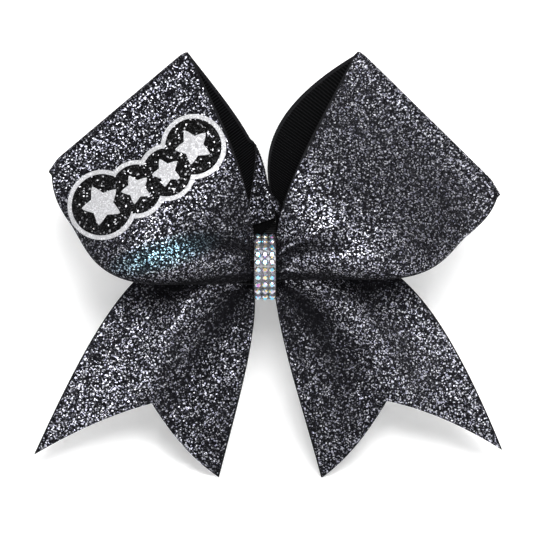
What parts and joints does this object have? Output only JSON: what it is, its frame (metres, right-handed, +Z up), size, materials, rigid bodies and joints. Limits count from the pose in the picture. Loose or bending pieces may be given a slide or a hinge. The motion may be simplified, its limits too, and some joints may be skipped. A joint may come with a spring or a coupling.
{
  "type": "cheer hair bow",
  "caption": "Large two-loop hair bow of glitter ribbon over black grosgrain, with notched tails, a crystal band at the centre, a star decal on one loop and a hair elastic behind.",
  "frame": {"origin": "on the flat back of the centre wrap, where the bow lies against the hair, level with the middle of the stone band", "axes": "+X to the right of the bow as seen from the front, -Y out of its front, +Z up, towards the tops of the loops"},
  "size_m": [0.1915, 0.056, 0.1742],
  "materials": {
    "black_grosgrain": "matt ribbed weave",
    "charcoal_glitter": "coarse charcoal and silver glitter on cloth, sparkling",
    "silver_glitter": "fine silver white glitter film",
    "black_glitter": "fine black glitter film",
    "crystal": "cut crystal with a rainbow coating, clear",
    "silver_tape": "bright silver mesh",
    "black_nylon": "moulded nylon",
    "black_elastic": "braided elastic cord"
  },
  "bodies": {
    "bow": {"left_loop_grosgrain": "black_grosgrain", "left_loop_glitter_facing": "charcoal_glitter", "right_loop_grosgrain": "black_grosgrain", "right_loop_glitter_facing": "charcoal_glitter", "loop_ribbon_front_pinch": "charcoal_glitter", "loop_ribbon_rear_pinch": "black_grosgrain", "tail_ribbon_pinch": "black_grosgrain", "cinch_tie_strap": "black_nylon", "cinch_tie_head": "black_nylon", "centre_wrap": "black_grosgrain", "stone_band_tape": "silver_tape", "stone_row1_col1": "crystal", "stone_row1_col2": "crystal", "stone_row1_col3": "crystal", "stone_row2_col1": "crystal", "stone_row2_col2": "crystal", "stone_row2_col3": "crystal", "stone_row3_col1": "crystal", "stone_row3_col2": "crystal", "stone_row3_col3": "crystal", "stone_row4_col1": "crystal", "stone_row4_col2": "crystal", "stone_row4_col3": "crystal", "stone_row5_col1": "crystal", "stone_row5_col2": "crystal", "stone_row5_col3": "crystal", "stone_row6_col1": "crystal", "stone_row6_col2": "crystal", "stone_row6_col3": "crystal", "stone_row7_col1": "crystal", "stone_row7_col2": "crystal", "stone_row7_col3": "crystal", "stone_row8_col1": "crystal", "stone_row8_col2": "crystal", "stone_row8_col3": "crystal", "stone_row9_col1": "crystal", "stone_row9_col2": "crystal", "stone_row9_col3": "crystal", "stone_row10_col1": "crystal", "stone_row10_col2": "crystal", "stone_row10_col3": "crystal", "decal_border": "silver_glitter", "decal_ground": "black_glitter", "decal_star_1": "silver_glitter", "decal_star_2": "silver_glitter", "decal_star_3": "silver_glitter", "decal_star_4": "silver_glitter"},
    "left_tail": {"left_tail_grosgrain": "black_grosgrain", "left_tail_glitter_facing": "charcoal_glitter"},
    "right_tail": {"right_tail_grosgrain": "black_grosgrain", "right_tail_glitter_facing": "charcoal_glitter"},
    "elastic": {"hair_elastic": "black_elastic"}
  },
  "joints": [
    {"name": "left_tail_swing", "type": "hinge", "parent": "bow", "child": "left_tail", "pos_m": [-0.0065, -0.0055, -0.005], "axis": [0, 0, -1], "range_deg": [0, 30], "stiffness_Nm_per_rad": 0.01},
    {"name": "right_tail_swing", "type": "hinge", "parent": "bow", "child": "right_tail", "pos_m": [0.0065, -0.0055, -0.005], "axis": [0, 0, 1], "range_deg": [0, 30], "stiffness_Nm_per_rad": 0.01},
    {"name": "elastic_swing", "type": "hinge", "parent": "bow", "child": "elastic", "pos_m": [0, -0.0029, 0.016], "axis": [1, 0, 0], "range_deg": [-40, 60], "stiffness_Nm_per_rad": 0.02}
  ]
}
